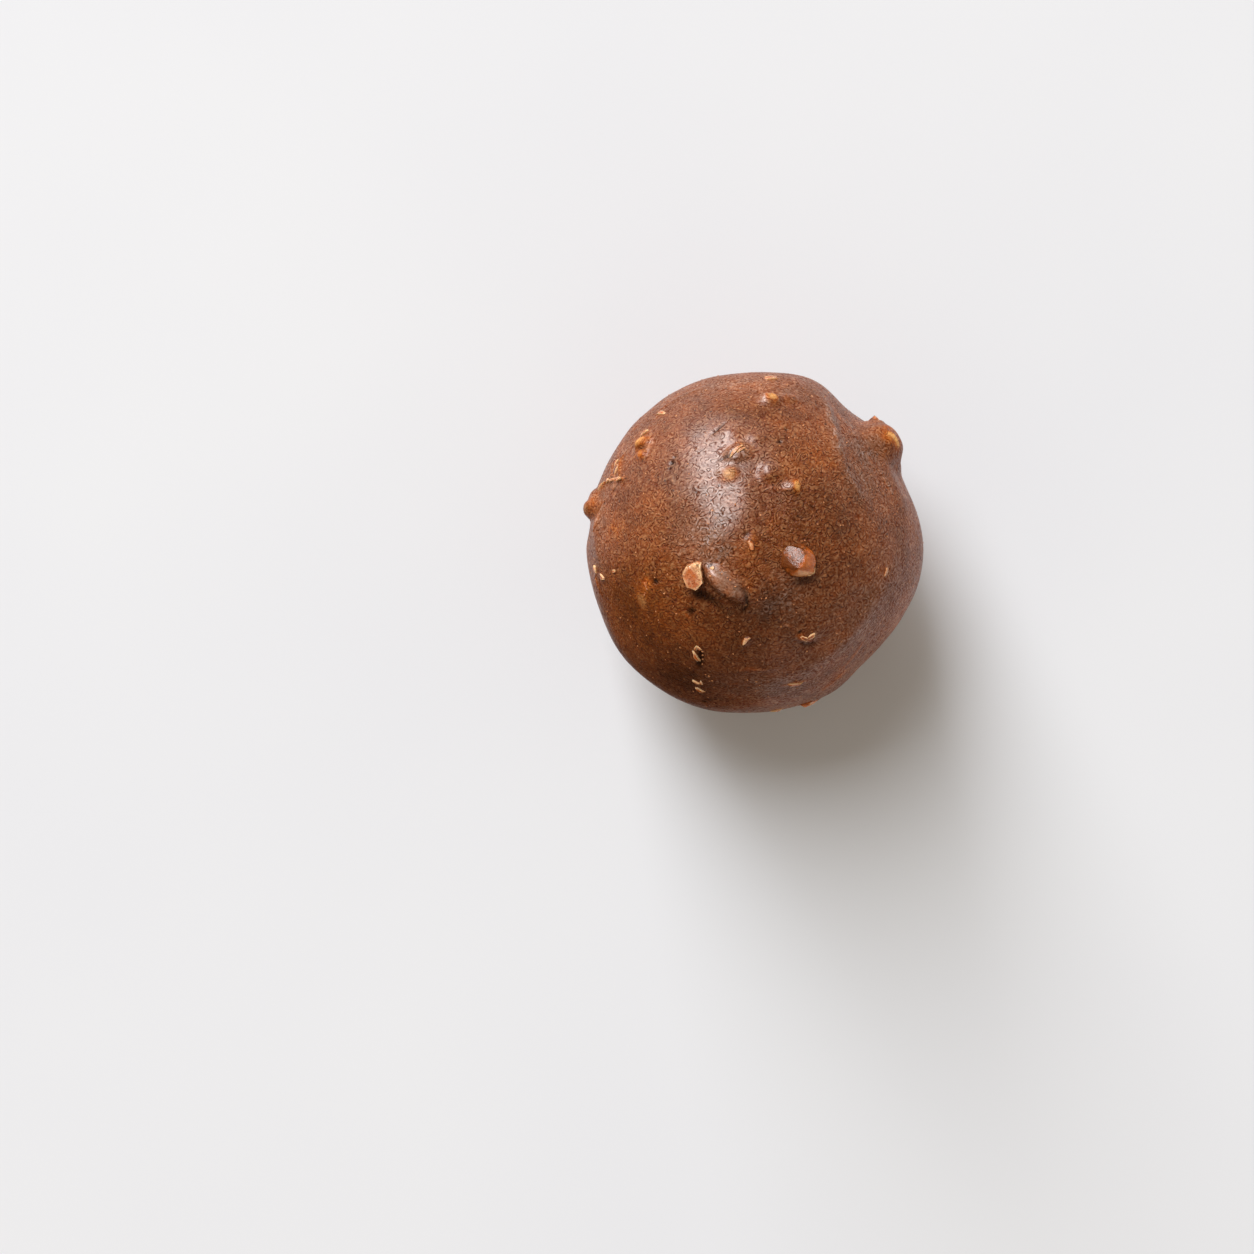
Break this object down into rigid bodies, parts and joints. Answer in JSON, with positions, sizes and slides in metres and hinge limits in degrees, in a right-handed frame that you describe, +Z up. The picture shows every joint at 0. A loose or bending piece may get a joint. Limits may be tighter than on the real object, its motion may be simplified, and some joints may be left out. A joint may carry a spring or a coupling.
{
  "type": "chocolate truffle",
  "caption": "Uneven round truffle coated in milk chocolate with chopped hazelnuts that lift and break its skin, on a small flat spot.",
  "frame": {"origin": "middle of the small flat spot that the truffle rests on, straight under the ball's centre", "axes": "+Z up, towards the viewer who looks down on it; +X to the right and +Y to the top as seen from above"},
  "size_m": [0.0303, 0.0304, 0.0296],
  "materials": {
    "chocolate": "satin milk chocolate with a fine crinkle",
    "nut": "dull, slightly oily"
  },
  "bodies": {
    "root": {"truffle": "chocolate"}
  },
  "joints": []
}
